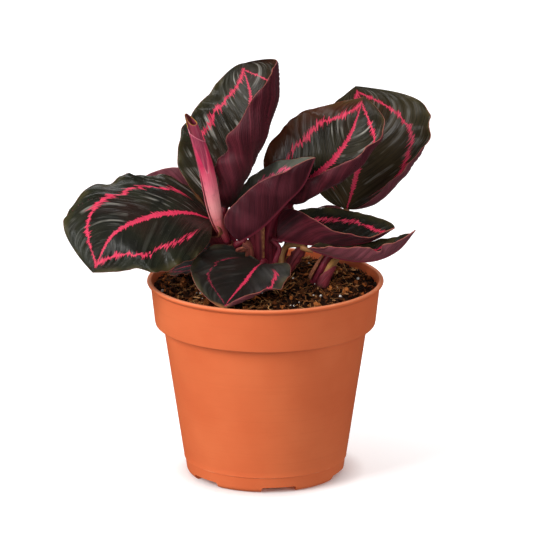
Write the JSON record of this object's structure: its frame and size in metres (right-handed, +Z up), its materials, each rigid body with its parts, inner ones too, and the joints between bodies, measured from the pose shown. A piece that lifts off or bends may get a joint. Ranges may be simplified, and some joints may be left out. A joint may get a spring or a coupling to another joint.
{
  "type": "potted calathea",
  "caption": "Young calathea with dark ring-marked leaves on crimson stalks, growing in soil in a round tapered plastic nursery pot.",
  "frame": {"origin": "centre of the pot's flat base, on the surface it stands on", "axes": "+Z up out of the pot, -Y towards the front of the plant, +X to its right as seen from the front"},
  "size_m": [0.1842, 0.12, 0.214],
  "materials": {
    "pot_plastic": "terracotta orange moulded plastic with a soft sheen",
    "soil": "damp peat and coir with pale grains of perlite",
    "leaf": "satin near-black green above with a feathered pink ring and midrib, burgundy beneath",
    "furl": "satin pink underside of the rolled new leaf",
    "stalk": "satin crimson, ribbed along its length",
    "sheath": "thin striped purple sheath with a dry tan edge"
  },
  "bodies": {
    "root": {"pot": "pot_plastic", "soil": "soil", "leaf_left": "leaf", "leaf_tall": "leaf", "leaf_folded": "leaf", "leaf_broad": "leaf", "leaf_rear_right": "leaf", "leaf_side_upper": "leaf", "leaf_side_lower": "leaf", "leaf_front": "leaf", "leaf_rear_left": "leaf", "leaf_ground": "leaf", "leaf_rear_small": "leaf", "leaf_rear": "leaf", "leaf_rolled": "furl", "stalk_left": "stalk", "stalk_tall": "stalk", "stalk_rolled": "stalk", "stalk_folded": "stalk", "stalk_broad": "stalk", "stalk_rear_right": "stalk", "stalk_side_upper": "stalk", "stalk_side_lower": "stalk", "stalk_front": "stalk", "stalk_rear_left": "stalk", "stalk_ground": "stalk", "stalk_rear_small": "stalk", "stalk_rear": "stalk", "shoot_furled": "stalk", "sheath_broad": "sheath", "sheath_rolled": "sheath", "sheath_folded": "sheath", "sheath_rear_right": "sheath", "bract_shoot": "sheath", "sheath_loose": "sheath"}
  },
  "joints": []
}
